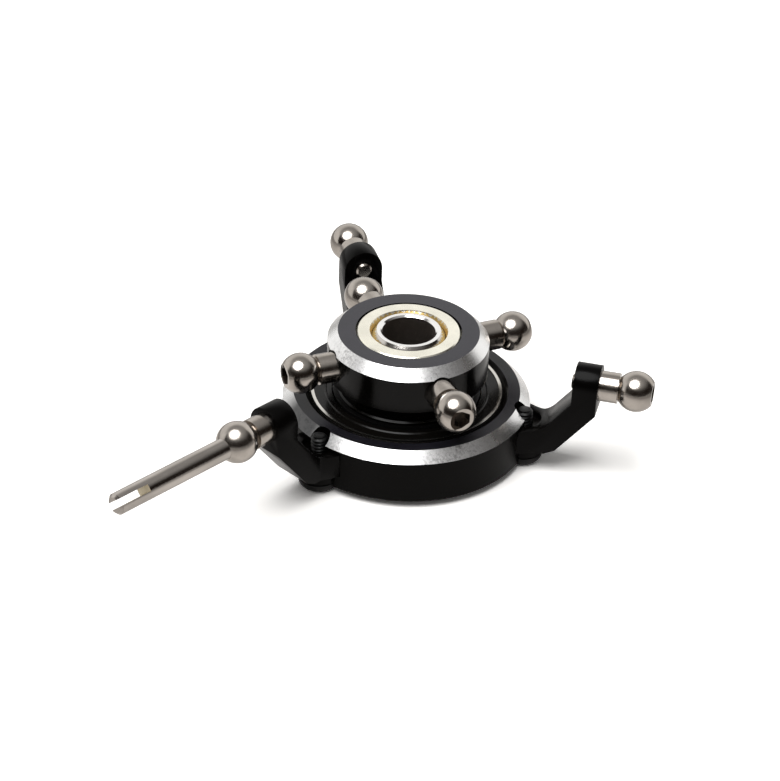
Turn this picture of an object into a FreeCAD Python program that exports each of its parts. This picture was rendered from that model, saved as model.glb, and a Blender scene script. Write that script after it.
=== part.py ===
"""Swashplate of a radio-controlled model helicopter with a 5 mm main shaft.

Units are millimetres. +Z points up the shaft. The origin is the centre of the
pivot ball, about which the swashplate tilts. The anti-rotation arm points along -Y.

Each function makes one piece of the product. Pieces that fit together take their
sizes from the same named values.
"""
import FreeCAD
import Part
import math
import os

V = FreeCAD.Vector
Z_AXIS = V(0, 0, 1)
ORIGIN = V(0, 0, 0)

# --- main shaft and pivot ball ---
SHAFT_BORE_R = 2.50            # the main shaft slides and turns in the pivot ball
PIVOT_BALL_R = 4.00
PIVOT_BALL_HALF_HEIGHT = 2.65  # flat ends of the ball, above and below its centre
PIVOT_BORE_CHAMFER = 0.15

# --- liner, in two halves, that holds the pivot ball ---
BALL_CLEARANCE = 0.03          # between the pivot ball and its seat
LINER_R = 5.20                 # the body, which turns in the hub
LINER_CLEARANCE = 0.05         # radial, between the liner and the hub
LINER_FLOAT = 0.03             # axial play of the liner in the hub, at each end
LINER_NOSE_R = 4.87            # the part that shows in the hub's mouth
LINER_NOSE_CLEARANCE = 0.09
LINER_THROAT_R = 3.45          # narrowest opening of the seat, above and below
LINER_MOUTH_R = 3.65           # the throat flares to this at the upper face
LINER_FOOT = 2.30              # from the tilt centre down to the lower face

# --- hub, the ring that turns with the rotor ---
HUB_TOP_Z = 2.60
HUB_BAND_STEP = 1.55           # the band at the top, wider than the bearing seat
HUB_BAND_HEIGHT = 4.35         # the wide band that carries the four ball studs
HUB_LIP = 0.90                 # the inward lip above the liner's body
SLEEVE_WALL = 0.75             # the tube below, that the bearing sits on
NECK_STEP = 0.20               # the neck below the band, wider than the bearing seat
COLLAR_STEP = 0.50             # shoulder that stands on the bearing's inner race
COLLAR_HEIGHT = 0.35
SLEEVE_END_LENGTH = 0.90
BARE_CHAMFER = 0.95            # the bright turned edge of the hub and the lower ring
EDGE_BREAK = 0.15

# --- ball bearing, 12 x 18 x 4 ---
BEARING_SECTION = 3.00         # radial, from the bore to the outside
BEARING_WIDTH = 4.00
BEARING_BALL_R = 0.794
BEARING_BALL_COUNT = 12
BEARING_RUNNING_GAP = 0.02     # between a ball and the bottom of its groove
GROOVE_CONFORMITY = 1.05       # groove radius over ball radius
SHOULDER_GAP = 1.10            # radial, between the shoulders of the two races
RACE_LAND = 0.28               # the edge of the outer race that stays bare
SEAL_THICKNESS = 0.20
SEAL_RECESS = 0.12             # the seals lie this far below the race's faces
SEAL_GAP = 0.10                # from a seal to the inner race
SEAL_BEAD = 0.10               # height of the bead pressed in each seal, with flanks at 45 degrees
SEAL_BEAD_WIDTH = 0.28
CAGE_WALL = 0.50
CAGE_HEIGHT = 2.00
POCKET_CLEARANCE = 0.05

# --- lower ring, which doesn't turn ---
RING_TOP_Z = -3.60
RING_WALL = 2.65               # from the bearing's outside to the ring's outside
RING_FLOOR = 1.05              # the lip under the bearing
BEARING_BELOW_RIM = 0.10       # from the ring's upper face down to the bearing
RING_LIP = 0.80                # the lip's width, inward from the bearing's outside
RING_MOUTH_CHAMFER = 0.60      # bevel around the bearing's seat
RING_FOOT_CHAMFER = 0.20

# --- arms, three of them at equal angles ---
ARM_NAMES = ("anti_rotation", "right", "left")
FIRST_ARM_ANGLE = -90.0
ARM_REACH = 6.60               # from the ring's outside to the arm's outer face
ARM_BALL_REACH = 3.35          # from there to the middle of the ball
ARM_BALL_Z = 0.00
ARM_UPRIGHT_THICKNESS = 2.30
ARM_WIDTH = 3.80
ARM_HEEL_Z = -2.30             # where the outer face turns inward
ARM_FOOT_TOP_Z = -4.90
ARM_FOOT_THICKNESS = 2.35
ARM_INSIDE_CORNER_R = 2.20     # concave curve from the foot to the leg
ARM_INSIDE_KNEE_Z = -1.42      # where the leg meets the upright, on the inner side
ARM_LEG_ANGLE = 52.0           # degrees, the inner side of the leg
ARM_FOOT_LENGTH = 3.10         # from the ring's outside to the foot's lower outer corner
ARM_FOOT_CORNER = 0.50         # height of that corner's bevel
ARM_FLARE_WIDTH = 5.30         # the foot at the ring
ARM_FLARE_LENGTH = 1.35        # from the ring's outside to where the flare has run out
TONGUE_DEPTH = 1.70            # how far the foot enters the lower ring
TONGUE_TOP_Z = -5.40           # the tongue is lower than the rest of the foot
TONGUE_CLEARANCE = 0.05
RIM_RELIEF_R = 1.00            # round notch about the screw's end, in the ring's rim
FOOT_RELIEF_R = 1.60           # round pocket about the screw's end, in the foot

# --- screws that hold the arms from below, M1.6, button head ---
SCREW_INSET = 0.25             # the screws' axes, inside the ring's outer wall
THREAD_R = 0.78                # M1.6, less its clearance
THREAD_CLEARANCE = 0.02
SCREW_HEAD_R = 1.90
SCREW_HEAD_HEIGHT = 1.00
SCREW_HEAD_FLAT_R = 0.95       # flat of the button head, about the socket
SCREW_HEAD_EDGE = 0.25         # height of the head's straight edge
SCREW_HEAD_BULGE_R = 1.63      # a point half way along the dome
SCREW_HEAD_BULGE_HEIGHT = 0.75 # from the seat to that point
SCREW_LENGTH = 4.50
SCREW_SOCKET_FLATS = 1.30
SCREW_SOCKET_DEPTH = 0.60
EAR_R = 2.00                   # rounded pad on the lower ring, under each foot
EAR_RISE = 0.40                # from the ring's lower face up to the pad's
SPOT_FACE_CLEARANCE = 0.15

# --- ball studs, M1.6 ---
LINK_BALL_R = 1.90
LINK_BALL_FLAT = 1.52          # from the ball's centre to its end face
STUD_SOCKET_FLATS = 1.50
STUD_SOCKET_DEPTH = 1.30
STUD_NECK_R = 1.10
STUD_COLLAR_R = 1.42
STUD_COLLAR_END = 1.60         # from the ball's centre back to the collar
HUB_BALL_REACH = 3.21          # from the hub's outside to the middle of each ball
HUB_BALL_Z = 0.25
HUB_STUD_START_ANGLE = -22.5
HUB_STUD_COUNT = 4
HUB_STUD_END_GAP = 0.21        # from a stud's thread to the liner's bore
HUB_SPOT_FACE = 0.19           # depth of the flat under each stud's collar
ARM_STUD_THREAD = 2.60

# --- anti-rotation pin ---
PIN_R = 1.00
PIN_REACH = 14.10              # from the ball's centre to the tip
PIN_TIP_CHAMFER = 0.25
PIN_SLOT_WIDTH = 0.65
PIN_SLOT_DEPTH = 3.30
PIN_SLOT_ANGLE = 41.0           # rise of the slot across the pin from level, degrees

# --- snap rings ---
SNAP_RING_THICKNESS = 0.40
SNAP_GROOVE_DEPTH = 0.35
SNAP_RING_WIDTH = 1.05         # radial
SNAP_RING_OPENING_ANGLE = 50.0       # degrees left open
SNAP_GROOVE_CLEARANCE = 0.03

# --- worked out from the values above ---
ARM_STEP_ANGLE = 360.0 / len(ARM_NAMES)
ARM_ANGLES = [FIRST_ARM_ANGLE + k * ARM_STEP_ANGLE for k in range(len(ARM_NAMES))]
HUB_BORE_R = LINER_R + LINER_CLEARANCE
BEARING_BORE_R = HUB_BORE_R + SLEEVE_WALL
BEARING_OUTER_R = BEARING_BORE_R + BEARING_SECTION
HUB_R = BEARING_BORE_R + HUB_BAND_STEP
BALL_PITCH_R = (BEARING_BORE_R + BEARING_OUTER_R) / 2
INNER_SHOULDER_R = BALL_PITCH_R - SHOULDER_GAP / 2
OUTER_SHOULDER_R = BALL_PITCH_R + SHOULDER_GAP / 2
RING_R = BEARING_OUTER_R + RING_WALL
SCREW_RADIUS = RING_R - SCREW_INSET
ARM_OUTER_FACE = RING_R + ARM_REACH
ARM_FOOT_END = RING_R + ARM_FOOT_LENGTH
ARM_FLARE_END = RING_R + ARM_FLARE_LENGTH
ARM_BALL_RADIUS = ARM_OUTER_FACE + ARM_BALL_REACH
HUB_BALL_RADIUS = HUB_R + HUB_BALL_REACH
HUB_STUD_STEP_ANGLE = 360.0 / HUB_STUD_COUNT
BEARING_TOP_Z = RING_TOP_Z - BEARING_BELOW_RIM
BEARING_BOTTOM_Z = BEARING_TOP_Z - BEARING_WIDTH
BEARING_MID_Z = (BEARING_TOP_Z + BEARING_BOTTOM_Z) / 2
RING_BOTTOM_Z = BEARING_BOTTOM_Z - RING_FLOOR
HUB_BAND_BOTTOM_Z = HUB_TOP_Z - HUB_BAND_HEIGHT
HUB_SHOULDER_Z = HUB_TOP_Z - HUB_LIP
SLEEVE_BOTTOM_Z = BEARING_BOTTOM_Z - SLEEVE_END_LENGTH
LINER_SNAP_TOP_Z = -LINER_FOOT - LINER_FLOAT
HUB_STUD_SEAT = HUB_R - HUB_SPOT_FACE
HUB_STUD_THREAD = HUB_STUD_SEAT - HUB_BORE_R - HUB_STUD_END_GAP
FOOT_BOTTOM_Z = ARM_FOOT_TOP_Z - ARM_FOOT_THICKNESS
HEAD_SEAT_Z = RING_BOTTOM_Z + EAR_RISE
TONGUE_END = RING_R - TONGUE_DEPTH
ARM_INNER_FACE = ARM_OUTER_FACE - ARM_UPRIGHT_THICKNESS
ARM_BOSS_R = ARM_WIDTH / 2


def turned(profile):
    """Solid of revolution about +Z from (radius, z) points or ready edges."""
    face = Part.Face(outline(profile, lambda r, z: V(r, 0, z)))
    return face.revolve(ORIGIN, Z_AXIS, 360)


def outline(points, place):
    """Closed wire through points. A 4-tuple (a, b, mid_a, mid_b) ends an arc."""
    edges = []
    last = place(*points[-1][:2])
    for point in points:
        here = place(*point[:2])
        if len(point) == 4:
            edges.append(Part.Arc(last, place(*point[2:]), here).toShape())
        else:
            edges.append(Part.LineSegment(last, here).toShape())
        last = here
    return Part.Wire(edges)


def prism(points, place, direction):
    """Straight solid from a closed outline, pushed along direction."""
    return Part.Face(outline(points, place)).extrude(direction)


def along_x(shape):
    """Turn a piece made about +Z so that its axis lies along +X."""
    shape.rotate(ORIGIN, V(0, 1, 0), 90)
    return shape


def at_station(shape, angle):
    """Turn a piece made on the +X side to its angle about the shaft."""
    shape.rotate(ORIGIN, Z_AXIS, angle)
    return shape


def hexagon(flats, z_low, z_high):
    """Six-sided prism about +Z, for a key socket."""
    corner = flats / 2 / math.cos(math.pi / 6)
    turns = [math.radians(60 * k) for k in range(6)]
    points = [(corner * math.cos(t), corner * math.sin(t)) for t in turns]
    return prism(points, lambda x, y: V(x, y, z_low), V(0, 0, z_high - z_low))


def sphere_z(radius, at_radius):
    """Height over its centre at which a sphere has the given radius."""
    return math.sqrt(radius ** 2 - at_radius ** 2)


# --- pivot ball and liner ---

def pivot_ball():
    flat_r = sphere_z(PIVOT_BALL_R, PIVOT_BALL_HALF_HEIGHT)
    top = PIVOT_BALL_HALF_HEIGHT
    return turned([
        (SHAFT_BORE_R, -top + PIVOT_BORE_CHAMFER),
        (SHAFT_BORE_R + PIVOT_BORE_CHAMFER, -top),
        (flat_r, -top),
        (flat_r, top, PIVOT_BALL_R, 0),
        (SHAFT_BORE_R + PIVOT_BORE_CHAMFER, top),
        (SHAFT_BORE_R, top - PIVOT_BORE_CHAMFER),
    ])


def seat_arc(sign):
    """Points of the ball seat from the equator to the throat, for one liner half."""
    seat_r = PIVOT_BALL_R + BALL_CLEARANCE
    throat_z = sphere_z(seat_r, LINER_THROAT_R)
    half_turn = math.atan2(throat_z, LINER_THROAT_R) / 2
    middle = (seat_r * math.cos(half_turn), sign * seat_r * math.sin(half_turn))
    return seat_r, throat_z, middle


def liner_upper():
    seat_r, throat_z, middle = seat_arc(1)
    shoulder = HUB_SHOULDER_Z - LINER_FLOAT
    return turned([
        (LINER_R, 0),
        (LINER_R, shoulder),
        (LINER_NOSE_R, shoulder),
        (LINER_NOSE_R, HUB_TOP_Z - EDGE_BREAK),
        (LINER_NOSE_R - EDGE_BREAK, HUB_TOP_Z),
        (LINER_MOUTH_R, HUB_TOP_Z),
        (LINER_THROAT_R, throat_z),
        (seat_r, 0, middle[0], middle[1]),
    ])


def liner_lower():
    seat_r, throat_z, middle = seat_arc(-1)
    return turned([
        (seat_r, 0),
        (LINER_THROAT_R, -throat_z, middle[0], middle[1]),
        (LINER_THROAT_R, -LINER_FOOT),
        (LINER_R - EDGE_BREAK, -LINER_FOOT),
        (LINER_R, -LINER_FOOT + EDGE_BREAK),
        (LINER_R, 0),
    ])


# --- hub ---

def hub_blank():
    mouth_r = LINER_NOSE_R + LINER_NOSE_CLEARANCE
    groove_low = LINER_SNAP_TOP_Z - SNAP_RING_THICKNESS - 2 * SNAP_GROOVE_CLEARANCE
    outer_groove_low = BEARING_BOTTOM_Z - SNAP_RING_THICKNESS - SNAP_GROOVE_CLEARANCE
    groove_r = HUB_BORE_R + SNAP_GROOVE_DEPTH
    waist_r = BEARING_BORE_R - SNAP_GROOVE_DEPTH
    return turned([
        (mouth_r, HUB_TOP_Z),
        (HUB_R - BARE_CHAMFER, HUB_TOP_Z),
        (HUB_R, HUB_TOP_Z - BARE_CHAMFER),
        (HUB_R, HUB_BAND_BOTTOM_Z + EDGE_BREAK),
        (HUB_R - EDGE_BREAK, HUB_BAND_BOTTOM_Z),
        (BEARING_BORE_R + NECK_STEP, HUB_BAND_BOTTOM_Z),
        (BEARING_BORE_R + NECK_STEP, BEARING_TOP_Z + COLLAR_HEIGHT),
        (BEARING_BORE_R + COLLAR_STEP - EDGE_BREAK, BEARING_TOP_Z + COLLAR_HEIGHT),
        (BEARING_BORE_R + COLLAR_STEP, BEARING_TOP_Z + COLLAR_HEIGHT - EDGE_BREAK),
        (BEARING_BORE_R + COLLAR_STEP, BEARING_TOP_Z),
        (BEARING_BORE_R, BEARING_TOP_Z),
        (BEARING_BORE_R, BEARING_BOTTOM_Z),
        (waist_r, BEARING_BOTTOM_Z),
        (waist_r, outer_groove_low),
        (BEARING_BORE_R, outer_groove_low),
        (BEARING_BORE_R, SLEEVE_BOTTOM_Z + EDGE_BREAK),
        (BEARING_BORE_R - EDGE_BREAK, SLEEVE_BOTTOM_Z),
        (HUB_BORE_R, SLEEVE_BOTTOM_Z),
        (HUB_BORE_R, groove_low),
        (groove_r, groove_low),
        (groove_r, LINER_SNAP_TOP_Z),
        (HUB_BORE_R, LINER_SNAP_TOP_Z),
        (HUB_BORE_R, HUB_SHOULDER_Z),
        (mouth_r, HUB_SHOULDER_Z),
    ])


def hub():
    seat = Part.makeCylinder(STUD_COLLAR_R + SPOT_FACE_CLEARANCE, HUB_R, ORIGIN, V(1, 0, 0))
    seat.translate(V(HUB_STUD_SEAT, 0, HUB_BALL_Z))
    hole = Part.makeCylinder(THREAD_R + THREAD_CLEARANCE, HUB_R, V(0, 0, HUB_BALL_Z), V(1, 0, 0))
    tools = []
    for k in range(HUB_STUD_COUNT):
        for tool in (seat, hole):
            tools.append(at_station(tool.copy(), HUB_STUD_START_ANGLE + k * HUB_STUD_STEP_ANGLE))
    return hub_blank().cut(tools)


# --- snap rings ---

def open_ring(inner_r, outer_r, z_top, angle):
    """Flat ring with a gap, seated in a groove."""
    ring = turned([
        (inner_r, z_top - SNAP_RING_THICKNESS),
        (outer_r, z_top - SNAP_RING_THICKNESS),
        (outer_r, z_top),
        (inner_r, z_top),
    ])
    half = math.radians(SNAP_RING_OPENING_ANGLE / 2)
    far = 2 * outer_r
    gap = prism(
        [(0, 0), (far * math.cos(half), -far * math.sin(half)),
         (far * math.cos(half), far * math.sin(half))],
        lambda x, y: V(x, y, z_top - 2 * SNAP_RING_THICKNESS),
        V(0, 0, 3 * SNAP_RING_THICKNESS))
    return ring.cut(at_station(gap, angle))


def liner_snap_ring():
    outer_r = HUB_BORE_R + SNAP_GROOVE_DEPTH - SNAP_GROOVE_CLEARANCE
    z_top = LINER_SNAP_TOP_Z - SNAP_GROOVE_CLEARANCE
    return open_ring(outer_r - SNAP_RING_WIDTH, outer_r, z_top, 0)


def hub_snap_ring():
    inner_r = BEARING_BORE_R - SNAP_GROOVE_DEPTH + SNAP_GROOVE_CLEARANCE
    return open_ring(inner_r, inner_r + SNAP_RING_WIDTH, BEARING_BOTTOM_Z, 90)


# --- bearing ---

def race(seat_r, shoulder_r, groove_bottom_r, recess):
    """Bearing race: seat, two shoulders and a round groove for the balls."""
    groove = BEARING_BALL_R * GROOVE_CONFORMITY
    centre = groove_bottom_r + math.copysign(groove, shoulder_r - seat_r)
    half = math.sqrt(groove ** 2 - (shoulder_r - centre) ** 2)
    top = BEARING_WIDTH / 2
    land = seat_r - RACE_LAND
    step = top - SEAL_RECESS - SEAL_THICKNESS
    upper = [(land, top), (land, step)] if recess else [(shoulder_r, top)]
    lower = [(land, -step), (land, -top)] if recess else [(shoulder_r, -top)]
    inner_step = [(shoulder_r, step)] if recess else []
    inner_step_low = [(shoulder_r, -step)] if recess else []
    points = [(seat_r, -top), (seat_r, top)] + upper + inner_step
    points += [(shoulder_r, half), (shoulder_r, -half, groove_bottom_r, 0)]
    points += inner_step_low + lower
    ring = turned(points)
    ring.translate(V(0, 0, BEARING_MID_Z))
    return ring


def bearing_outer_race():
    bottom = BALL_PITCH_R + BEARING_BALL_R + BEARING_RUNNING_GAP
    return race(BEARING_OUTER_R, OUTER_SHOULDER_R, bottom, True)


def bearing_inner_race():
    bottom = BALL_PITCH_R - BEARING_BALL_R - BEARING_RUNNING_GAP
    return race(BEARING_BORE_R, INNER_SHOULDER_R, bottom, False)


def seal(side):
    """Thin ring that closes the gap between the races, with one pressed bead."""
    inner = INNER_SHOULDER_R + SEAL_GAP
    outer = BEARING_OUTER_R - RACE_LAND
    high = BEARING_WIDTH / 2 - SEAL_RECESS
    low = high - SEAL_THICKNESS
    bead_in = BALL_PITCH_R
    bead_out = bead_in + SEAL_BEAD_WIDTH
    ring = turned([
        (inner, low), (outer, low), (outer, high),
        (bead_out, high), (bead_out - SEAL_BEAD, high + SEAL_BEAD),
        (bead_in + SEAL_BEAD, high + SEAL_BEAD), (bead_in, high),
        (inner, high),
    ])
    if side < 0:
        ring.rotate(ORIGIN, V(1, 0, 0), 180)
    ring.translate(V(0, 0, BEARING_MID_Z))
    return ring


def ball_angle(k):
    return 360.0 * k / BEARING_BALL_COUNT


def bearing_ball(k):
    ball = Part.makeSphere(BEARING_BALL_R, V(BALL_PITCH_R, 0, BEARING_MID_Z))
    return at_station(ball, ball_angle(k))


def bearing_cage():
    low = BEARING_MID_Z - CAGE_HEIGHT / 2
    cage = turned([
        (BALL_PITCH_R - CAGE_WALL / 2, low),
        (BALL_PITCH_R + CAGE_WALL / 2, low),
        (BALL_PITCH_R + CAGE_WALL / 2, low + CAGE_HEIGHT),
        (BALL_PITCH_R - CAGE_WALL / 2, low + CAGE_HEIGHT),
    ])
    pocket = Part.makeCylinder(
        BEARING_BALL_R + POCKET_CLEARANCE, BALL_PITCH_R,
        V(BALL_PITCH_R / 2, 0, BEARING_MID_Z), V(1, 0, 0))
    pockets = [at_station(pocket.copy(), ball_angle(k)) for k in range(BEARING_BALL_COUNT)]
    return cage.cut(pockets)


# --- lower ring ---

def foot_plan(extra, z_low, z_high):
    """Plan shape of an arm, on the +X side: tongue, flare and straight sides."""
    wide = ARM_FLARE_WIDTH / 2 + extra
    slim = ARM_WIDTH / 2 + extra
    inner_r = TONGUE_END - extra
    inner_x = math.sqrt(inner_r ** 2 - wide ** 2)
    ring_x = math.sqrt(RING_R ** 2 - wide ** 2)
    points = [
        (inner_x, -wide, inner_r, 0),
        (ring_x, -wide),
        (ARM_FLARE_END, -slim),
        (ARM_OUTER_FACE + extra, -slim),
        (ARM_OUTER_FACE + extra, slim),
        (ARM_FLARE_END, slim),
        (ring_x, wide),
        (inner_x, wide),
    ]
    return prism(points, lambda x, y: V(x, y, z_low), V(0, 0, z_high - z_low))


def ring_blank():
    return turned([
        (BEARING_OUTER_R, BEARING_BOTTOM_Z),
        (BEARING_OUTER_R, RING_TOP_Z - RING_MOUTH_CHAMFER),
        (BEARING_OUTER_R + RING_MOUTH_CHAMFER, RING_TOP_Z),
        (RING_R - BARE_CHAMFER, RING_TOP_Z),
        (RING_R, RING_TOP_Z - BARE_CHAMFER),
        (RING_R, RING_BOTTOM_Z + RING_FOOT_CHAMFER),
        (RING_R - RING_FOOT_CHAMFER, RING_BOTTOM_Z),
        (BEARING_OUTER_R - RING_LIP, RING_BOTTOM_Z),
        (BEARING_OUTER_R - RING_LIP, BEARING_BOTTOM_Z),
    ])


def ear():
    """Rounded pad under an arm's foot, for the screw's head to bear on."""
    pad = turned([
        (0, HEAD_SEAT_Z),
        (EAR_R - RING_FOOT_CHAMFER, HEAD_SEAT_Z),
        (EAR_R, HEAD_SEAT_Z + RING_FOOT_CHAMFER),
        (EAR_R, FOOT_BOTTOM_Z),
        (0, FOOT_BOTTOM_Z),
    ])
    pad.translate(V(SCREW_RADIUS, 0, 0))
    return pad


def screw_cylinder(radius, z_low):
    """Upright cylinder about the screw's axis, on the +X side, up past the rim."""
    return Part.makeCylinder(radius, RING_TOP_Z - z_low + EDGE_BREAK, V(SCREW_RADIUS, 0, z_low), Z_AXIS)


def lower_ring():
    slot = foot_plan(TONGUE_CLEARANCE, FOOT_BOTTOM_Z, TONGUE_TOP_Z + TONGUE_CLEARANCE)
    hole = screw_cylinder(THREAD_R + THREAD_CLEARANCE, HEAD_SEAT_Z)
    relief = screw_cylinder(RIM_RELIEF_R, TONGUE_TOP_Z)
    spot_face = Part.makeCylinder(
        SCREW_HEAD_R + SPOT_FACE_CLEARANCE, EAR_RISE + EDGE_BREAK,
        V(SCREW_RADIUS, 0, HEAD_SEAT_Z), V(0, 0, -1))
    ears = []
    tools = []
    for angle in ARM_ANGLES:
        ears.append(at_station(ear(), angle))
        for tool in (slot, hole, relief, spot_face):
            tools.append(at_station(tool.copy(), angle))
    return ring_blank().fuse(ears).cut(tools).removeSplitter()


# --- arms ---

def arm_side():
    """Side view of an arm, in radius and height, from the tongue to the boss."""
    top_z = ARM_BALL_Z + ARM_BOSS_R
    knee = V(ARM_INNER_FACE, 0, ARM_INSIDE_KNEE_Z)
    slope = math.radians(ARM_LEG_ANGLE)
    drop = ARM_INSIDE_KNEE_Z - ARM_FOOT_TOP_Z
    corner_x = knee.x - drop / math.tan(slope)
    tangent = ARM_INSIDE_CORNER_R * math.tan(slope / 2)
    centre = (corner_x - tangent, ARM_FOOT_TOP_Z + ARM_INSIDE_CORNER_R)
    half = slope / 2
    arc_mid = (centre[0] + ARM_INSIDE_CORNER_R * math.sin(half),
               centre[1] - ARM_INSIDE_CORNER_R * math.cos(half))
    arc_end = (corner_x + tangent * math.cos(slope), ARM_FOOT_TOP_Z + tangent * math.sin(slope))
    return [
        (0, ARM_FOOT_TOP_Z),
        (corner_x - tangent, ARM_FOOT_TOP_Z),
        (arc_end[0], arc_end[1], arc_mid[0], arc_mid[1]),
        (knee.x, knee.z),
        (knee.x, top_z),
        (ARM_OUTER_FACE, top_z),
        (ARM_OUTER_FACE, ARM_HEEL_Z),
        (ARM_FOOT_END, FOOT_BOTTOM_Z + ARM_FOOT_CORNER),
        (ARM_FOOT_END - 2 * ARM_FOOT_CORNER, FOOT_BOTTOM_Z),
        (0, FOOT_BOTTOM_Z),
    ]


def boss_front():
    """Front view of an arm: wide at the foot, and a round top about the stud's axis."""
    wide = ARM_FLARE_WIDTH
    return [
        (-wide, FOOT_BOTTOM_Z),
        (wide, FOOT_BOTTOM_Z),
        (wide, ARM_BALL_Z),
        (ARM_BOSS_R, ARM_BALL_Z),
        (-ARM_BOSS_R, ARM_BALL_Z, 0, ARM_BALL_Z + ARM_BOSS_R),
        (-wide, ARM_BALL_Z),
    ]


def arm():
    width = ARM_FLARE_WIDTH
    top_z = ARM_BALL_Z + ARM_BOSS_R
    body = prism(arm_side(), lambda x, z: V(x, -width, z), V(0, 2 * width, 0))
    front = prism(boss_front(), lambda y, z: V(0, y, z), V(2 * ARM_OUTER_FACE, 0, 0))
    plan = foot_plan(0, FOOT_BOTTOM_Z, top_z)
    ring_wall = Part.makeCylinder(
        RING_R + TONGUE_CLEARANCE, top_z - TONGUE_TOP_Z, V(0, 0, TONGUE_TOP_Z), Z_AXIS)
    relief = screw_cylinder(FOOT_RELIEF_R, TONGUE_TOP_Z)
    stud_hole = Part.makeCylinder(
        THREAD_R + THREAD_CLEARANCE, ARM_OUTER_FACE, V(SCREW_RADIUS, 0, ARM_BALL_Z), V(1, 0, 0))
    screw_hole = screw_cylinder(THREAD_R + THREAD_CLEARANCE, FOOT_BOTTOM_Z)
    return body.common(front).common(plan).cut([ring_wall, relief, stud_hole, screw_hole])


def arm_screw():
    """Button-head screw, driven upward into the arm's foot."""
    low = HEAD_SEAT_Z - SCREW_HEAD_HEIGHT
    tip_z = HEAD_SEAT_Z + SCREW_LENGTH
    body = turned([
        (0, low),
        (SCREW_HEAD_FLAT_R, low),
        (SCREW_HEAD_R, HEAD_SEAT_Z - SCREW_HEAD_EDGE,
         SCREW_HEAD_BULGE_R, HEAD_SEAT_Z - SCREW_HEAD_BULGE_HEIGHT),
        (SCREW_HEAD_R, HEAD_SEAT_Z),
        (THREAD_R, HEAD_SEAT_Z),
        (THREAD_R, tip_z - EDGE_BREAK),
        (THREAD_R - EDGE_BREAK, tip_z),
        (0, tip_z),
    ])
    socket = hexagon(SCREW_SOCKET_FLATS, low - SCREW_SOCKET_DEPTH, low + SCREW_SOCKET_DEPTH)
    screw = body.cut(socket)
    screw.translate(V(SCREW_RADIUS, 0, 0))
    return screw


# --- ball studs ---

def stud_profile(ball_radius, seat, thread, end):
    """Half section of a stud about its axis; distances are from the shaft's axis."""
    neck_start = ball_radius - sphere_z(LINK_BALL_R, STUD_NECK_R)
    points = [
        (0, seat - thread),
        (THREAD_R - EDGE_BREAK, seat - thread),
        (THREAD_R, seat - thread + EDGE_BREAK),
        (THREAD_R, seat),
        (STUD_COLLAR_R, seat),
        (STUD_COLLAR_R, ball_radius - STUD_COLLAR_END),
        (STUD_NECK_R, ball_radius - STUD_COLLAR_END),
    ]
    if neck_start > ball_radius - STUD_COLLAR_END:
        points.append((STUD_NECK_R, neck_start))
    return points + end


def ball_stud(ball_radius, ball_z, seat, thread):
    flat_r = sphere_z(LINK_BALL_R, LINK_BALL_FLAT)
    face_x = ball_radius + LINK_BALL_FLAT
    body = turned(stud_profile(ball_radius, seat, thread, [
        (flat_r, face_x, LINK_BALL_R, ball_radius),
        (0, face_x),
    ]))
    socket = hexagon(STUD_SOCKET_FLATS, face_x - STUD_SOCKET_DEPTH, face_x + STUD_SOCKET_DEPTH)
    stud = along_x(body.cut(socket))
    stud.translate(V(0, 0, ball_z))
    return stud


def anti_rotation_pin():
    """Ball stud that carries on as a long pin, slotted at its tip."""
    pin_start = ARM_BALL_RADIUS + sphere_z(LINK_BALL_R, PIN_R)
    tip = ARM_BALL_RADIUS + PIN_REACH
    body = turned(stud_profile(ARM_BALL_RADIUS, ARM_OUTER_FACE, ARM_STUD_THREAD, [
        (PIN_R, pin_start, LINK_BALL_R, ARM_BALL_RADIUS),
        (PIN_R, tip - PIN_TIP_CHAMFER),
        (PIN_R - PIN_TIP_CHAMFER, tip),
        (0, tip),
    ]))
    slot = Part.makeBox(
        4 * PIN_R, PIN_SLOT_WIDTH, 2 * PIN_SLOT_DEPTH,
        V(-2 * PIN_R, -PIN_SLOT_WIDTH / 2, tip - PIN_SLOT_DEPTH))
    slot.rotate(ORIGIN, Z_AXIS, PIN_SLOT_ANGLE - 90)
    pin = along_x(body.cut(slot))
    pin.translate(V(0, 0, ARM_BALL_Z))
    return pin


# --- the whole swashplate ---

def pieces():
    """Every piece by its node's name."""
    made = {
        "pivot_ball": pivot_ball(),
        "liner_upper": liner_upper(),
        "liner_lower": liner_lower(),
        "liner_snap_ring": liner_snap_ring(),
        "hub": hub(),
        "hub_snap_ring": hub_snap_ring(),
        "bearing_inner_race": bearing_inner_race(),
        "bearing_outer_race": bearing_outer_race(),
        "bearing_cage": bearing_cage(),
        "bearing_upper_seal": seal(1),
        "bearing_lower_seal": seal(-1),
        "lower_ring": lower_ring(),
    }
    for k in range(BEARING_BALL_COUNT):
        made["bearing_ball_%02d" % (k + 1)] = bearing_ball(k)
    for k in range(HUB_STUD_COUNT):
        stud = ball_stud(HUB_BALL_RADIUS, HUB_BALL_Z, HUB_STUD_SEAT, HUB_STUD_THREAD)
        angle = HUB_STUD_START_ANGLE + k * HUB_STUD_STEP_ANGLE
        made["hub_ball_stud_%d" % (k + 1)] = at_station(stud, angle)
    for name, angle in zip(ARM_NAMES, ARM_ANGLES):
        made["arm_" + name] = at_station(arm(), angle)
        made["arm_screw_" + name] = at_station(arm_screw(), angle)
        if name == "anti_rotation":
            made["anti_rotation_pin"] = at_station(anti_rotation_pin(), angle)
        else:
            stud = ball_stud(ARM_BALL_RADIUS, ARM_BALL_Z, ARM_OUTER_FACE, ARM_STUD_THREAD)
            made["arm_ball_stud_" + name] = at_station(stud, angle)
    return made


os.makedirs("parts", exist_ok=True)
for node, shape in pieces().items():
    shape.exportStep("parts/%s.step" % node)
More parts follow.
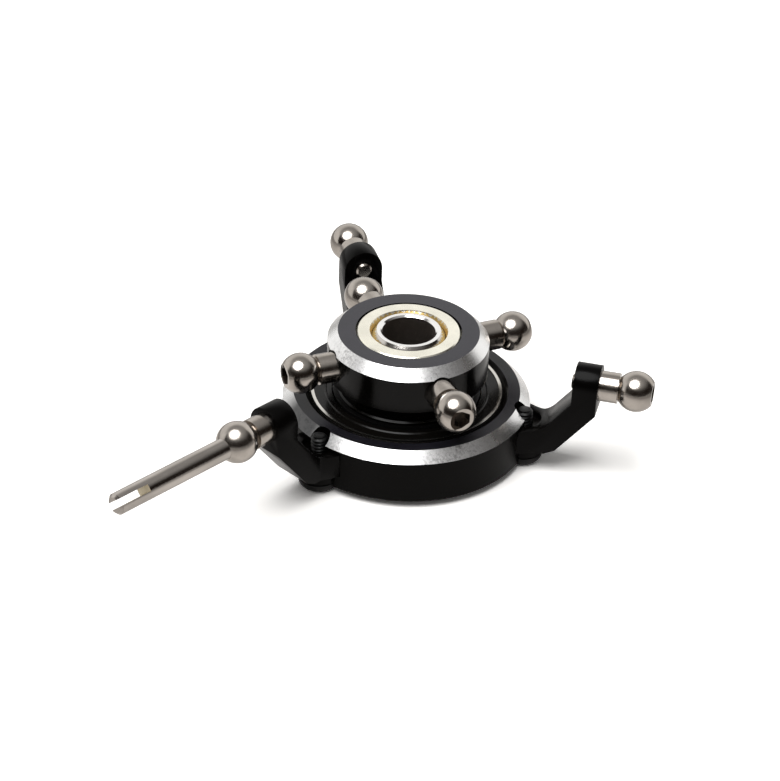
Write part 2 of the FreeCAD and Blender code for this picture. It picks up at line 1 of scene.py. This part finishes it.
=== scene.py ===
"""Looks of the model helicopter swashplate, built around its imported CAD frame.

Lengths are written in millimetres and multiplied by MM; Blender works in metres.
+Z is up the main shaft and the anti-rotation arm points along -Y.
"""
import math

import bmesh
import bpy
from mathutils import Matrix, Vector

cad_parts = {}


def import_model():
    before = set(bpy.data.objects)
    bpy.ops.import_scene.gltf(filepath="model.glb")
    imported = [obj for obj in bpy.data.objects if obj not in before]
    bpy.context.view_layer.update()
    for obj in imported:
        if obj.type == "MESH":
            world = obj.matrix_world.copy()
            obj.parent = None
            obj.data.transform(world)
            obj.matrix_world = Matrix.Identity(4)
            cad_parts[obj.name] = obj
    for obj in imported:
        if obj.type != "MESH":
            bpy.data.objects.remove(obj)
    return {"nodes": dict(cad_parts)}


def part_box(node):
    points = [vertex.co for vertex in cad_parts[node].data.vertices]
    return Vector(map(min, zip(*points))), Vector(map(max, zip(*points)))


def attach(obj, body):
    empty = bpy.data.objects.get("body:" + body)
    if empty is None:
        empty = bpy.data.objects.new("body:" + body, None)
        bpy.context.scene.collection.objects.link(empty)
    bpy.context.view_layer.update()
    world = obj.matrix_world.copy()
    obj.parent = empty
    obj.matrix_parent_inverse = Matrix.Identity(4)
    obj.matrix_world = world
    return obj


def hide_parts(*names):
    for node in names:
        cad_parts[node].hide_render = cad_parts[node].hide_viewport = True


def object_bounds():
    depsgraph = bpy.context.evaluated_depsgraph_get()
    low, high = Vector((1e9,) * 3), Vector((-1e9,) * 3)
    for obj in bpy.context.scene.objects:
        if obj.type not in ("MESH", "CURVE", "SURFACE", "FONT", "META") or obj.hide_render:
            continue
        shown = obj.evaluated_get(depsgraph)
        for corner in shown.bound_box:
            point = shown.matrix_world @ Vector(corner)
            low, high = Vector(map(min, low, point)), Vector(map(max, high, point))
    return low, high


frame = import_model()
cad_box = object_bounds()

MM = 0.001
STATIONS = ("anti_rotation", "right", "left")

# Where a CAD node changes its finish.
BAND_R = 7.55 * MM             # the hub's outer wall
RING_R = 11.65 * MM            # the lower ring's outer wall
BARE_CHAMFER = 0.95 * MM       # the bright edge of both
FLAT_TOP = 0.05 * MM           # how far below a piece's top its flat face may lie
BALL_FLAT = 1.52 * MM          # from the middle of a link ball to its end face
KEY_SOCKET_R = 0.84 * MM       # round the hexagon of a ball stud
KEY_SOCKET_START = 0.2 * MM    # from the middle of the ball outward
PIN_START = -23.4 * MM         # where the long pin leaves its ball
PIN_END = -35.5 * MM           # just short of its slotted tip
PIN_SLOT_REACH = 0.85 * MM     # faces nearer to the pin's axis belong to its slot
PIVOT_BORE_R = 2.51 * MM
PIVOT_END_R = 3.0 * MM         # the flat ends of the pivot ball
PIVOT_END_Z = 2.4 * MM
LINER_MOUTH_R = 3.6 * MM       # inside it the liner is the ball's seat
SHARP_EDGE = 24                # degrees; flatter edges are shaded round

# Marks on the chamfers, as (angle about the shaft, half width), both in turns: speckled scuffs,
# darker in part as a painted reflection of the dim room, and painted shade beside the arm.
WEAR_AND_PAINTED_REFLECTION = ((-0.255, 0.10), (-0.07, 0.075))
PAINTED_ARM_SHADE = (-0.295, 0.075)        # painted shade and reflection of the anti-rotation arm, beside it

SCREW_PITCH = 0.35 * MM
SCREW_THREAD_DEPTH = 0.16 * MM
SCREW_HEAD_HEIGHT = 1.0 * MM
SCREW_TIP_TAPER = 0.3 * MM     # length of the taper at the tip
SCREW_TIP_SLOPE = 0.7
ARM_EDGE_ROUND = 0.07 * MM

FLOOR_HALF = 0.8                   # metres
SWEEP_FRONT = (0.88, -0.475, 0)    # level, away from the bright sweep
LAMP_PLACE = (0.01, -0.155, 0.42)  # metres
LAMP_WIDTH = 0.42                  # metres
LAMP_POWER = 2.4                   # watts

VIEW_ANGLES = (43.36, 32.81, 2.157)    # azimuth, elevation and roll, in degrees
VIEW_DISTANCE = 238.07 * MM
VIEW_ASIDE = -1.668 * MM
VIEW_ABOVE = -3.404 * MM
LENS = 117.69
SENSOR_HEIGHT = 36


# --- nodes of materials and of the world ---

class Nodes:
    """Short calls that build a node tree."""

    def __init__(self, tree):
        self.nodes = tree.nodes
        self.links = tree.links

    def put(self, socket, value):
        """Link or set one input; a colour of three numbers gets its alpha."""
        if isinstance(value, bpy.types.NodeSocket):
            self.links.new(value, socket)
        elif socket.type == "RGBA":
            socket.default_value = (*value, 1)
        else:
            socket.default_value = value

    def set(self, node, **inputs):
        for key, value in inputs.items():
            self.put(node.inputs[key.replace("_", " ")], value)
        return node

    def add(self, kind, **inputs):
        return self.set(self.nodes.new(kind), **inputs)

    def math(self, operation, a, b=0.0, clamp=False):
        node = self.nodes.new("ShaderNodeMath")
        node.operation = operation
        node.use_clamp = clamp
        self.put(node.inputs[0], a)
        self.put(node.inputs[1], b)
        return node.outputs[0]

    def mix(self, factor, a, b):
        """Colour a where factor is 0 and b where it is 1."""
        node = self.nodes.new("ShaderNodeMix")
        node.data_type = "RGBA"
        sockets = [s for s in node.inputs if s.enabled]
        for socket, value in zip(sockets, (factor, a, b)):
            self.put(socket, value)
        return next(s for s in node.outputs if s.enabled)

    def span(self, value, low, high, to_low, to_high, kind="LINEAR"):
        """The value carried from one range to another and held at its ends."""
        node = self.nodes.new("ShaderNodeMapRange")
        node.interpolation_type = kind
        self.set(node, Value=value, From_Min=low, From_Max=high, To_Min=to_low, To_Max=to_high)
        return node.outputs["Result"]

    def smooth(self, value, low, high, to_low, to_high):
        return self.span(value, low, high, to_low, to_high, "SMOOTHSTEP")


class Shader(Nodes):
    """A new material with its main shader, and the patterns laid over it."""

    def __init__(self, name, colour, metallic=0.0, roughness=0.4, **inputs):
        self.material = bpy.data.materials.new(name)
        self.material.use_nodes = True
        super().__init__(self.material.node_tree)
        self.main = self.nodes["Principled BSDF"]
        self.set(self.main, Base_Color=colour, Metallic=metallic, Roughness=roughness, **inputs)
        self.place = self.add("ShaderNodeTexCoord").outputs["Object"]

    def ramp(self, factor, *stops):
        """Grey ramp: pairs of (position, value)."""
        node = self.add("ShaderNodeValToRGB", Fac=factor)
        elements = node.color_ramp.elements
        while len(elements) < len(stops):
            elements.new(0.5)
        for element, (position, value) in zip(elements, stops):
            element.position = position
            element.color = (value, value, value, 1)
        return node.outputs["Color"]

    def noise(self, place, scale, detail=3.0, roughness=0.55):
        """Noise whose features are about 1 / scale across."""
        node = self.add("ShaderNodeTexNoise", Vector=place, Scale=scale, Detail=detail,
                        Roughness=roughness)
        return node.outputs["Fac"]

    def stretched(self, place, x, y, z):
        node = self.add("ShaderNodeMapping", Vector=place, Scale=(x, y, z))
        return node.outputs["Vector"]

    def around(self):
        """Radius, angle in turns and height about the main shaft."""
        parts = self.add("ShaderNodeSeparateXYZ", Vector=self.place).outputs
        square = self.math("ADD", self.math("POWER", parts["X"], 2.0),
                           self.math("POWER", parts["Y"], 2.0))
        angle = self.math("ARCTAN2", parts["Y"], parts["X"])
        return self.math("SQRT", square), self.math("DIVIDE", angle, math.tau), parts["Z"]

    def lathe_place(self):
        """Coordinates in which marks left by turning run round the shaft."""
        radius, _, height = self.around()
        return self.add("ShaderNodeCombineXYZ", X=radius, Y=height).outputs["Vector"]

    def near(self, turns, centre, width):
        """1 at an angle about the shaft, given in turns, falling to 0 at width from it."""
        off = self.math("ABSOLUTE", self.math("SUBTRACT", turns, centre))
        off = self.math("MINIMUM", off, self.math("SUBTRACT", 1.0, off))
        return self.span(off, width * 0.35, width, 1.0, 0.0)

    def bump(self, height, depth):
        """Surface relief: depth in metres for a height from 0 to 1."""
        last = self.main.inputs["Normal"]
        node = self.add("ShaderNodeBump", Height=height, Distance=depth, Strength=1.0)
        if last.is_linked:
            self.links.new(last.links[0].from_socket, node.inputs["Normal"])
        self.links.new(node.outputs["Normal"], last)

    def roughen(self, value):
        self.set(self.main, Roughness=value)

    def paint(self, value):
        self.set(self.main, Base_Color=value)


# --- finishes ---

def black_top(name="black_anodised_face", depth=1.0, gloss=0.5):
    """Matt face-turned anodised aluminium: the flat upper faces; depth scales its colour."""
    s = Shader(name, (0.016, 0.015, 0.021), 0.0, 0.34, Specular_IOR_Level=gloss)
    grain = s.noise(s.place, 9000, 2)
    rings = s.noise(s.lathe_place(), 14000, 2)
    cloud = s.noise(s.place, 420, 3)
    s.roughen(s.span(s.math("ADD", cloud, grain), 0.6, 1.4, 0.26, 0.40))
    dark, light = (tuple(c * depth for c in colour)
                   for colour in ((0.012, 0.0115, 0.017), (0.019, 0.018, 0.025)))
    s.paint(s.mix(s.span(cloud, 0.3, 0.7, 0, 1), dark, light))
    s.bump(rings, 0.006 * MM)
    s.bump(grain, 0.008 * MM)
    return s.material


def black_wall(name="black_anodised_wall", gloss=0.07):
    """Glossy anodised aluminium: the turned walls."""
    s = Shader(name, (0.0012, 0.0010, 0.0008), 0.0, 0.2, Specular_IOR_Level=gloss)
    rings = s.noise(s.lathe_place(), 9000, 3)
    cloud = s.noise(s.place, 500, 4)
    s.roughen(s.span(cloud, 0.3, 0.7, 0.13, 0.24))
    s.bump(rings, 0.004 * MM)
    s.bump(s.noise(s.place, 12000, 2), 0.002 * MM)
    return s.material


def black_satin():
    """Satin anodised aluminium of the milled arms."""
    s = Shader("black_anodised_milled", (0.0012, 0.0010, 0.0009), 0.0, 0.3,
               Specular_IOR_Level=0.07)
    cloud = s.noise(s.place, 600, 4)
    passes = s.noise(s.stretched(s.place, 1, 1, 9), 1800, 3)
    grain = s.noise(s.place, 11000, 2)
    s.roughen(s.span(s.math("ADD", cloud, grain), 0.6, 1.4, 0.16, 0.28))
    s.bump(passes, 0.004 * MM)
    s.bump(grain, 0.003 * MM)
    return s.material


def bare_edge(name="bare_aluminium", stained=0.0):
    """The chamfer cut through the anodising: bright, with scuffed, streaky places, darker in
    part as a painted reflection of the dim room.

    The second argument is how far the metal darkens beside the anti-rotation arm, from 0 to 1:
    painted shade and reflection of the arm.
    """
    s = Shader(name, (0.93, 0.93, 0.93), 1.0, 0.3)
    _, turns, height = s.around()
    fine = s.noise(s.lathe_place(), 16000, 2)
    slant = s.add("ShaderNodeCombineXYZ", X=s.math("MULTIPLY", turns, 60.0),
                  Y=s.math("MULTIPLY", height, 1500.0)).outputs["Vector"]
    blotch = s.noise(slant, 1.0, 5, 0.7)
    speckle = s.noise(s.place, 3800, 4, 0.7)
    # The scuffs lie at angles where the chamfer mirrors the dim room: their darkness is partly
    # painted reflection.
    worn_and_reflecting = s.math("MAXIMUM", *(s.near(turns, *wear_and_reflection) for wear_and_reflection in WEAR_AND_PAINTED_REFLECTION))
    patch = s.math("MULTIPLY", worn_and_reflecting, s.ramp(blotch, (0.34, 0.1), (0.60, 1.0)))
    patch = s.math("MULTIPLY", patch, s.ramp(speckle, (0.40, 0.2), (0.62, 1.0)), clamp=True)
    metal = s.mix(patch, (0.94, 0.94, 0.94), (0.34, 0.335, 0.335))
    if stained:
        # Painted shade and reflection of the anti-rotation arm, darkening the chamfer beside it.
        stain = s.math("MULTIPLY", s.near(turns, *PAINTED_ARM_SHADE), stained)
        metal = s.mix(stain, metal, (0.05, 0.05, 0.052))
    s.paint(metal)
    s.roughen(s.span(patch, 0.0, 1.0, 0.27, 0.45))
    s.bump(fine, 0.004 * MM)
    s.bump(speckle, 0.004 * MM)
    return s.material


def plated_steel(name="polished_nickel", colour=(0.47, 0.43, 0.39), shine=0.17):
    """Turned and polished steel: the ball studs and the bearing's balls."""
    s = Shader(name, colour, 1.0, shine)
    fine = s.noise(s.place, 5200, 3)
    cloud = s.noise(s.place, 700, 3)
    s.roughen(s.span(cloud, 0.3, 0.7, shine * 0.8, shine * 1.5))
    darker = tuple(c * 0.86 for c in colour)
    s.paint(s.mix(s.span(cloud, 0.35, 0.65, 0, 1), colour, darker))
    s.bump(fine, 0.004 * MM)
    return s.material


def drawn_pin():
    """The anti-rotation pin: drawn wire, with streaks along its length."""
    s = Shader("drawn_steel", (0.62, 0.585, 0.55), 1.0, 0.2)
    along = s.noise(s.stretched(s.place, 1, 0.02, 1), 5200, 4, 0.65)
    cloud = s.noise(s.stretched(s.place, 1, 0.25, 1), 700, 3)
    s.roughen(s.span(along, 0.3, 0.7, 0.14, 0.26))
    s.paint(s.mix(s.span(cloud, 0.35, 0.65, 0, 1), (0.52, 0.48, 0.445), (0.40, 0.37, 0.34)))
    s.bump(along, 0.006 * MM)
    return s.material


def socket_steel():
    """Key sockets: the stud's steel darker and duller, as painted shade inside the hexagon."""
    s = Shader("stud_socket_painted_shade", (0.035, 0.026, 0.02), 1.0, 0.45)
    s.bump(s.noise(s.place, 6000, 3), 0.012 * MM)
    s.roughen(s.span(s.noise(s.place, 1500, 3), 0.3, 0.7, 0.35, 0.6))
    return s.material


def gold(name="pale_gold", colour=(1.0, 0.97, 0.85), shine=0.2):
    """Turned yellow metal: the liner, the cage and the raw faces of the pin's slot."""
    s = Shader(name, colour, 1.0, shine)
    rings = s.noise(s.lathe_place(), 15000, 3)
    cloud = s.noise(s.place, 500, 3)
    s.roughen(s.span(cloud, 0.3, 0.7, shine * 0.8, shine * 1.6))
    darker = tuple(c * 0.93 for c in colour)
    s.paint(s.mix(s.span(cloud, 0.35, 0.65, 0, 1), colour, darker))
    s.bump(rings, 0.002 * MM)
    return s.material


def ground_steel(name="ground_steel", colour=(0.72, 0.70, 0.66), shine=0.2):
    """Steel ground round the shaft: the bearing's outer race and the pivot ball."""
    s = Shader(name, colour, 1.0, shine)
    rings = s.noise(s.lathe_place(), 18000, 2)
    s.roughen(s.span(rings, 0.3, 0.7, shine * 0.7, shine * 1.5))
    s.bump(rings, 0.004 * MM)
    return s.material


def rubber():
    """Moulded black rubber of the bearing's seals."""
    s = Shader("moulded_rubber", (0.003, 0.0026, 0.0022), 0.0, 0.2, Specular_IOR_Level=0.2)
    grain = s.noise(s.place, 7000, 3)
    s.roughen(s.span(grain, 0.3, 0.7, 0.14, 0.28))
    s.bump(grain, 0.002 * MM)
    return s.material


def oxide_and_painted_shade():
    """Blackened steel: the screws and the snap rings; on the bearing's inner race the black is
    painted shade under the hub.
    """
    s = Shader("oxide_and_painted_shade", (0.003, 0.003, 0.003), 0.0, 0.3, Specular_IOR_Level=0.22)
    grain = s.noise(s.place, 6500, 3)
    s.roughen(s.span(grain, 0.3, 0.7, 0.25, 0.5))
    s.bump(grain, 0.006 * MM)
    return s.material


TOP = black_top()
WALL = black_wall()
SATIN = black_satin()
BARE = bare_edge()
# The ring's chamfer carries painted shade and reflection beside the anti-rotation arm.
RING_BARE = bare_edge("stained_aluminium", 0.93)
RING_TOP = black_top("black_anodised_rim", 0.45, 0.3)
HUB_WALL = black_wall("black_anodised_band", 0.15)
NICKEL = plated_steel()
PIN = drawn_pin()
# Painted shade: the inside of each stud's key socket.
SOCKET = socket_steel()
GOLD = gold()
GOLD_SEAT = gold("gold_seat", (0.85, 0.62, 0.24), 0.22)
GROUND = ground_steel()
PIVOT = ground_steel("pivot_steel", (0.92, 0.91, 0.90), 0.12)
# Painted shade: the pivot ball is one steel; its bore and its round skin are darker than its
# flat ends.
BORE = ground_steel("pivot_bore_painted_shade", (0.26, 0.225, 0.20), 0.42)
BALL = ground_steel("pivot_ball_skin", (0.62, 0.59, 0.56), 0.16)
CHROME = plated_steel("bearing_ball_steel", (0.75, 0.74, 0.73), 0.08)
RUBBER = rubber()
OXIDE_AND_PAINTED_SHADE = oxide_and_painted_shade()
CAGE = gold("cage_brass", (0.72, 0.52, 0.24), 0.3)
SLOT = gold("sawn_slot", (0.62, 0.55, 0.40), 0.3)


# --- which face of which node has which finish ---

def shade_round(mesh, degrees):
    """Smooth shading that keeps the edges sharper than the given angle."""
    for face in mesh.polygons:
        face.use_smooth = True
    mesh.set_sharp_from_angle(angle=math.radians(degrees))


def dress(name, *materials, choose=None):
    """Give each face of a CAD node the material that choose(centre, normal) picks."""
    mesh = frame["nodes"][name].data
    mesh.materials.clear()
    for material in materials:
        mesh.materials.append(material)
    for face in mesh.polygons:
        face.material_index = choose(face.center, face.normal) if choose else 0
    shade_round(mesh, SHARP_EDGE)


def radius_of(point):
    return math.hypot(point.x, point.y)


def turned_faces(wall_r, top_z):
    """0 for walls, 1 for the flat top, 2 for the bright chamfer."""
    inner = wall_r - BARE_CHAMFER * 1.02
    lowest = top_z - BARE_CHAMFER * 1.02

    def choose(centre, normal):
        slanted = 0.55 < normal.z < 0.85
        if slanted and radius_of(centre) > inner and centre.z > lowest:
            return 2
        return 1 if normal.z > 0.9 and centre.z > top_z - FLAT_TOP else 0
    return choose


def pin_faces(centre, normal):
    """0 for the stud, 1 for the round of the long pin, 2 for the faces of its slot."""
    if centre.y > PIN_START:
        return 0
    inside = math.hypot(centre.x, centre.z) < PIN_SLOT_REACH
    return 2 if inside and centre.y > PIN_END else 1


def liner_faces(centre, normal):
    """0 for the pale ring, 1 for the seat of the pivot ball."""
    return 0 if radius_of(centre) > LINER_MOUTH_R and normal.z > -0.5 else 1


def pivot_faces(centre, normal):
    """0 for the flat ends, 1 for the bore, 2 for the round skin of the pivot ball."""
    r = radius_of(centre)
    if r < PIVOT_BORE_R:
        return 1
    flat = abs(normal.z) > 0.6 and abs(centre.z) > PIVOT_END_Z
    return 0 if flat and r < PIVOT_END_R else 2


def stud_faces(direction, ball_reach, level):
    """1 inside the key socket of a ball stud whose axis runs outward along direction."""
    def choose(centre, normal):
        along = centre.dot(direction)
        side = (centre - direction * along - Vector((0, 0, level))).length
        return 1 if side < KEY_SOCKET_R and along > ball_reach + KEY_SOCKET_START else 0
    return choose


def dress_stud(name):
    low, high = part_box(name)
    middle = (low + high) / 2
    direction = Vector((middle.x, middle.y, 0)).normalized()
    reach = max(v.co.dot(direction) for v in frame["nodes"][name].data.vertices)
    dress(name, NICKEL, SOCKET, choose=stud_faces(direction, reach - BALL_FLAT, middle.z))


def dress_all():
    for name in frame["nodes"]:
        if "ball_stud" in name:
            dress_stud(name)
        elif name.startswith("arm_screw") or name.endswith("snap_ring"):
            dress(name, OXIDE_AND_PAINTED_SHADE)
        elif name.startswith("arm_"):
            dress(name, SATIN)
        elif name.startswith("bearing_ball"):
            dress(name, CHROME)
        elif name.endswith("seal"):
            dress(name, RUBBER)
    dress("hub", HUB_WALL, TOP, BARE, choose=turned_faces(BAND_R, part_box("hub")[1].z))
    dress("lower_ring", WALL, RING_TOP, RING_BARE,
          choose=turned_faces(RING_R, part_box("lower_ring")[1].z))
    dress("bearing_outer_race", GROUND)
    # Painted shade: the inner race lies under the hub's overhang and gets the screws' black.
    dress("bearing_inner_race", OXIDE_AND_PAINTED_SHADE)
    dress("bearing_cage", CAGE)
    dress("anti_rotation_pin", NICKEL, PIN, SLOT, choose=pin_faces)
    dress("liner_upper", GOLD, GOLD_SEAT, choose=liner_faces)
    dress("liner_lower", GOLD)
    dress("pivot_ball", PIVOT, BORE, BALL, choose=pivot_faces)


# --- finer meshes that stand for CAD nodes ---

def own_piece(shape, node, body, material, sharp):
    """Make a worked shape stand for a CAD node; the shape itself is freed."""
    mesh = bpy.data.meshes.new("fine_" + node)
    shape.to_mesh(mesh)
    shape.free()
    mesh.materials.clear()
    mesh.materials.append(material)
    for face in mesh.polygons:
        face.material_index = 0
    shade_round(mesh, sharp)
    piece = bpy.data.objects.new("fine_" + node, mesh)
    bpy.context.scene.collection.objects.link(piece)
    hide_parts(node)
    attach(piece, body)


def threaded_screw(node, segments=40, rows_per_turn=8):
    """The arm screw with a cut thread in place of its plain shank."""
    low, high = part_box(node)
    middle = (low + high) / 2
    screw = bmesh.new()
    screw.from_mesh(frame["nodes"][node].data)
    seat = low.z + SCREW_HEAD_HEIGHT
    shank = [v for v in screw.verts if v.co.z > seat + 0.01 * MM]
    outer = max(math.hypot(v.co.x - middle.x, v.co.y - middle.y) for v in shank)
    bmesh.ops.delete(screw, geom=shank, context="VERTS")
    steps = int((high.z - seat) / SCREW_PITCH * rows_per_turn)
    rings = []
    for step in range(steps + 1):
        z = seat + (high.z - seat) * step / steps
        taper = max(0.0, SCREW_TIP_TAPER - (high.z - z)) * SCREW_TIP_SLOPE
        ring = []
        for k in range(segments):
            turn = k / segments
            phase = ((z - seat) / SCREW_PITCH - turn) % 1.0
            cut = SCREW_THREAD_DEPTH * (1 - abs(2 * phase - 1) * 1.25)
            r = outer - max(0.0, cut) - taper
            ring.append(screw.verts.new((middle.x + r * math.cos(math.tau * turn),
                                         middle.y + r * math.sin(math.tau * turn), z)))
        rings.append(ring)
    for lower, upper in zip(rings, rings[1:]):
        for k in range(segments):
            j = (k + 1) % segments
            screw.faces.new((lower[k], lower[j], upper[j], upper[k]))
    screw.faces.new(rings[-1])
    own_piece(screw, node, "lower_swashplate", OXIDE_AND_PAINTED_SHADE, 28)


def softened_arm(node):
    """The arm's own shape with its sharp edges broken by a small round."""
    shape = bmesh.new()
    shape.from_mesh(frame["nodes"][node].data)
    bmesh.ops.remove_doubles(shape, verts=shape.verts, dist=0.002 * MM)
    bmesh.ops.dissolve_limit(shape, angle_limit=math.radians(1), verts=shape.verts,
                             edges=shape.edges)
    edges = [e for e in shape.edges
             if len(e.link_faces) == 2 and e.calc_face_angle(0) > math.radians(28)]
    bmesh.ops.bevel(shape, geom=edges, offset=ARM_EDGE_ROUND, segments=2, profile=0.5,
                    affect="EDGES", clamp_overlap=True)
    own_piece(shape, node, "lower_swashplate", SATIN, 40)


# --- floor, light and camera ---

def floor():
    """White paper; to the camera alone it is brighter, so that its far part stays white."""
    mesh = bpy.data.meshes.new("floor")
    corners = [(x * FLOOR_HALF, y * FLOOR_HALF) for x, y in ((-1, -1), (1, -1), (1, 1), (-1, 1))]
    mesh.from_pydata([(x, y, cad_box[0][2]) for x, y in corners], [], [(0, 1, 2, 3)])
    plane = bpy.data.objects.new("floor", mesh)
    bpy.context.scene.collection.objects.link(plane)
    s = Shader("floor_paper", (0.8, 0.8, 0.8), 0.0, 0.9, Specular_IOR_Level=0.0)
    radius = s.around()[0]
    path = s.add("ShaderNodeLightPath").outputs
    mirrored = s.math("MAXIMUM", path["Is Glossy Ray"], path["Is Transmission Ray"])
    sheet = s.mix(s.span(radius, 0.02, 0.07, 0.0, 1.0), (0.80, 0.775, 0.75), (0.28, 0.27, 0.26))
    seen = s.mix(mirrored, (0.6, 0.59, 0.58), sheet)
    far = s.span(radius, 0.06, FLOOR_HALF, 0.0, 1.0)
    paper = s.mix(far, (1.35, 1.33, 1.30), (14.0, 14.0, 14.0))
    s.paint(s.mix(path["Is Camera Ray"], seen, paper))
    mesh.materials.append(s.material)


def world():
    """A dim room round a bright sweep that rises behind the object; white to the camera."""
    studio = bpy.data.worlds.new("studio")
    bpy.context.scene.world = studio
    studio.use_nodes = True
    n = Nodes(studio.node_tree)
    direction = n.add("ShaderNodeTexCoord").outputs["Generated"]
    height = n.add("ShaderNodeSeparateXYZ", Vector=direction).outputs["Z"]
    facing = n.nodes.new("ShaderNodeVectorMath")
    facing.operation = "DOT_PRODUCT"
    n.put(facing.inputs[0], direction)
    n.put(facing.inputs[1], SWEEP_FRONT)
    front = facing.outputs["Value"]

    # The sweep fades out between two heights, which sink from its middle to its sides.
    rim_top = n.smooth(front, -0.35, 0.12, 0.85, 0.08)
    rim_foot = n.smooth(front, -0.35, 0.12, 0.50, -0.05)
    share = n.smooth(height, rim_foot, rim_top, 1.0, 0.0)
    room = n.mix(n.smooth(height, 0.48, 0.92, 0.0, 1.0), (0.018, 0.013, 0.010),
                 (0.42, 0.415, 0.41))
    swept = n.mix(share, room, (1.0, 0.99, 0.97))
    path = n.add("ShaderNodeLightPath").outputs
    spread = n.mix(path["Is Diffuse Ray"], swept, (0.30, 0.30, 0.30))
    n.set(n.nodes["Background"], Color=n.mix(path["Is Camera Ray"], spread, (1.0, 1.0, 1.0)))


def softbox():
    """Round lamp above and in front, pointing at the middle of the object."""
    lamp = bpy.data.lights.new("overhead", "AREA")
    lamp.shape = "DISK"
    lamp.size = LAMP_WIDTH
    lamp.energy = LAMP_POWER
    lit = bpy.data.objects.new("overhead", lamp)
    bpy.context.scene.collection.objects.link(lit)
    lit.location = LAMP_PLACE
    lit.rotation_euler = (-Vector(LAMP_PLACE)).to_track_quat("-Z", "Y").to_euler()


def camera():
    """At the viewing angle of a product picture, from the front right and above."""
    azimuth, elevation, roll = (math.radians(angle) for angle in VIEW_ANGLES)
    back = Vector((math.sin(azimuth) * math.cos(elevation),
                   -math.cos(azimuth) * math.cos(elevation), math.sin(elevation)))
    level = Vector((math.cos(azimuth), math.sin(azimuth), 0))
    upright = back.cross(level)
    right = math.cos(roll) * level + math.sin(roll) * upright
    up = math.cos(roll) * upright - math.sin(roll) * level
    data = bpy.data.cameras.new("camera")
    data.sensor_fit = "VERTICAL"
    data.sensor_height = SENSOR_HEIGHT
    data.lens = LENS
    data.clip_start = 0.01
    data.clip_end = 20
    seen = bpy.data.objects.new("camera", data)
    bpy.context.scene.collection.objects.link(seen)
    place = back * VIEW_DISTANCE + right * VIEW_ASIDE + up * VIEW_ABOVE
    turn = Matrix((right, up, back)).transposed().to_4x4()
    seen.matrix_world = Matrix.Translation(place) @ turn
    bpy.context.scene.camera = seen


dress_all()
for station in STATIONS:
    threaded_screw("arm_screw_" + station)
    softened_arm("arm_" + station)

floor()
world()
softbox()
camera()
bpy.context.scene.view_settings.view_transform = "Standard"
